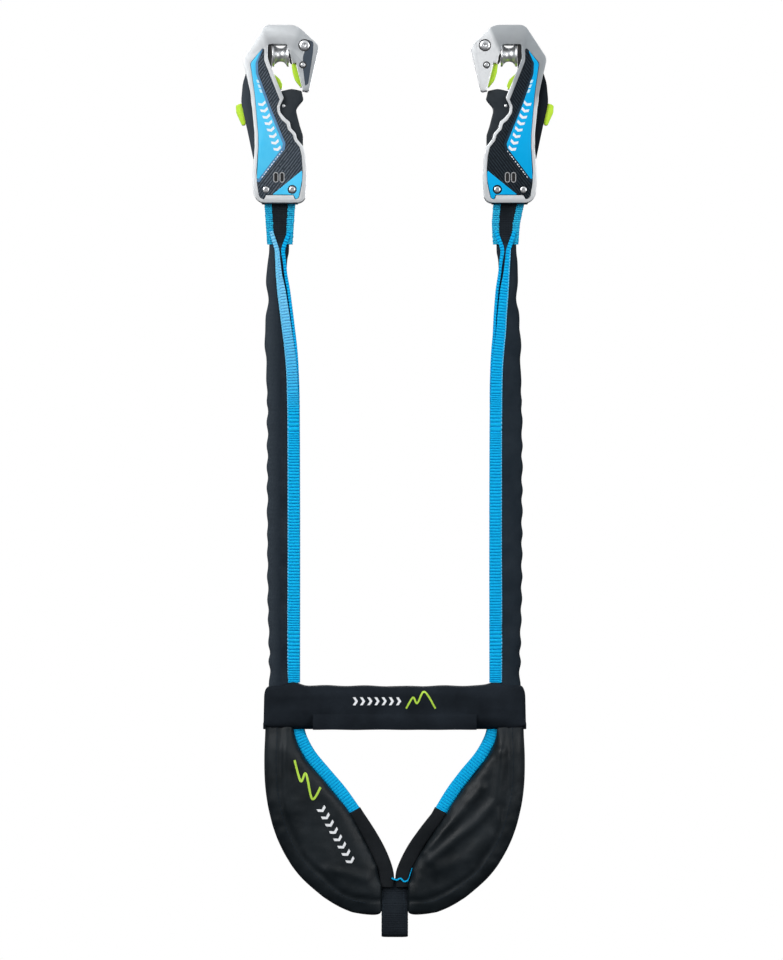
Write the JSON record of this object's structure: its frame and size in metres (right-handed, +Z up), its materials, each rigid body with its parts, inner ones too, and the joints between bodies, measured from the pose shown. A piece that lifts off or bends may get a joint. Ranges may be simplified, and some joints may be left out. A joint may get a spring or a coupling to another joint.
{
  "type": "via ferrata lanyard set",
  "caption": "Via ferrata lanyard: palm-squeeze carabiners with cable rollers on elastic webbing arms, joined by a cross band to an energy-absorber pouch with a tie-in loop.",
  "frame": {"origin": "midway between the two steel cables that the rollers hang on, at the cables' centre height and in the set's middle plane", "axes": "+X to the right as seen from the printed front, +Z up along the arms towards the carabiners, -Y out of the front"},
  "size_m": [0.305, 0.0353, 0.875],
  "materials": {
    "satin_alloy": "satin forged aluminium",
    "polished_steel": "polished",
    "bright_steel": "bright",
    "black_alloy": "black anodised, satin",
    "black_plastic": "fine textured",
    "blue_plastic": "semi gloss",
    "lime_plastic": "satin",
    "black_webbing": "woven nylon",
    "blue_webbing": "ribbed woven tape",
    "elastic": "woven elastic",
    "pouch_fabric": "coated, slightly glossy",
    "absorber_webbing": "folded tear webbing"
  },
  "bodies": {
    "lanyard": {"band": "black_webbing", "band_flap": "black_webbing", "tie_in_loop": "black_webbing", "left_webbing_loop": "blue_webbing", "left_arm": "black_webbing", "left_arm_elastic": "elastic", "left_pouch_half": "pouch_fabric", "left_absorber": "absorber_webbing", "left_load_tape": "blue_webbing", "left_tape_sleeve": "black_webbing", "right_webbing_loop": "blue_webbing", "right_arm": "black_webbing", "right_arm_elastic": "elastic", "right_pouch_half": "pouch_fabric", "right_absorber": "absorber_webbing", "right_load_tape": "blue_webbing", "right_tape_sleeve": "black_webbing"},
    "left_carabiner": {"left_frame": "satin_alloy", "left_front_cover": "black_plastic", "left_back_cover": "black_plastic", "left_blue_panel": "blue_plastic", "left_gate_pin": "bright_steel", "left_gate_spring": "bright_steel", "left_lever_pin": "bright_steel", "left_lever_spring": "bright_steel", "left_nose_guide": "lime_plastic", "left_roller_axle": "bright_steel", "left_nose_pin_large": "bright_steel", "left_nose_pin_small": "bright_steel", "left_cover_screw_outer": "bright_steel", "left_cover_screw_inner": "bright_steel", "left_webbing_bar": "bright_steel"},
    "left_gate": {"left_gate": "black_alloy", "left_gate_rivet": "bright_steel"},
    "left_palm_lever": {"left_palm_lever": "black_plastic"},
    "left_release_button": {"left_release_button": "lime_plastic"},
    "left_lock_catch": {"left_lock_catch": "lime_plastic"},
    "left_cable_roller": {"left_cable_roller": "polished_steel"},
    "right_carabiner": {"right_frame": "satin_alloy", "right_front_cover": "black_plastic", "right_back_cover": "black_plastic", "right_blue_panel": "blue_plastic", "right_gate_pin": "bright_steel", "right_gate_spring": "bright_steel", "right_lever_pin": "bright_steel", "right_lever_spring": "bright_steel", "right_nose_guide": "lime_plastic", "right_roller_axle": "bright_steel", "right_nose_pin_large": "bright_steel", "right_nose_pin_small": "bright_steel", "right_cover_screw_outer": "bright_steel", "right_cover_screw_inner": "bright_steel", "right_webbing_bar": "bright_steel"},
    "right_gate": {"right_gate": "black_alloy", "right_gate_rivet": "bright_steel"},
    "right_palm_lever": {"right_palm_lever": "black_plastic"},
    "right_release_button": {"right_release_button": "lime_plastic"},
    "right_lock_catch": {"right_lock_catch": "lime_plastic"},
    "right_cable_roller": {"right_cable_roller": "polished_steel"}
  },
  "joints": [
    {"name": "left_carabiner_swing", "type": "hinge", "parent": "lanyard", "child": "left_carabiner", "pos_m": [-0.10895, 0, -0.113], "axis": [1, 0, 0], "range_deg": [-12, 12]},
    {"name": "left_gate_open", "type": "hinge", "parent": "left_carabiner", "child": "left_gate", "pos_m": [-0.0972, 0, -0.091], "axis": [0, -1, 0], "range_deg": [0, 18], "stiffness_Nm_per_rad": 0.25, "springref_deg": -28.65},
    {"name": "left_lever_squeeze", "type": "hinge", "parent": "left_carabiner", "child": "left_palm_lever", "pos_m": [-0.1287, 0, -0.093], "axis": [0, 1, 0], "range_deg": [0, 7], "stiffness_Nm_per_rad": 0.8, "springref_deg": -8.59},
    {"name": "left_button_press", "type": "slide", "parent": "left_palm_lever", "child": "left_release_button", "axis": [1, 0, 0], "range_m": [0, 0.0022], "stiffness_N_per_m": 200, "springref_m": -0.003},
    {"name": "left_catch_slide", "type": "slide", "parent": "left_carabiner", "child": "left_lock_catch", "axis": [-0.905, 0, 0.4254], "range_m": [0, 0.0035]},
    {"name": "left_roller_spin", "type": "hinge", "parent": "left_carabiner", "child": "left_cable_roller", "pos_m": [-0.1096, 0, 0.0124], "axis": [1, 0, 0], "continuous": true},
    {"name": "right_carabiner_swing", "type": "hinge", "parent": "lanyard", "child": "right_carabiner", "pos_m": [0.10895, 0, -0.113], "axis": [1, 0, 0], "range_deg": [-12, 12]},
    {"name": "right_gate_open", "type": "hinge", "parent": "right_carabiner", "child": "right_gate", "pos_m": [0.0972, 0, -0.091], "axis": [0, 1, 0], "range_deg": [0, 18], "stiffness_Nm_per_rad": 0.25, "springref_deg": -28.65},
    {"name": "right_lever_squeeze", "type": "hinge", "parent": "right_carabiner", "child": "right_palm_lever", "pos_m": [0.1287, 0, -0.093], "axis": [0, -1, 0], "range_deg": [0, 7], "stiffness_Nm_per_rad": 0.8, "springref_deg": -8.59},
    {"name": "right_button_press", "type": "slide", "parent": "right_palm_lever", "child": "right_release_button", "axis": [-1, 0, 0], "range_m": [0, 0.0022], "stiffness_N_per_m": 200, "springref_m": -0.003},
    {"name": "right_catch_slide", "type": "slide", "parent": "right_carabiner", "child": "right_lock_catch", "axis": [0.905, 0, 0.4254], "range_m": [0, 0.0035]},
    {"name": "right_roller_spin", "type": "hinge", "parent": "right_carabiner", "child": "right_cable_roller", "pos_m": [0.1096, 0, 0.0124], "axis": [1, 0, 0], "continuous": true}
  ],
  "couplings": [
    {"joint": "left_catch_slide", "follows": "left_lever_squeeze", "m_per_rad": 0.0286},
    {"joint": "right_catch_slide", "follows": "right_lever_squeeze", "m_per_rad": 0.0286}
  ]
}
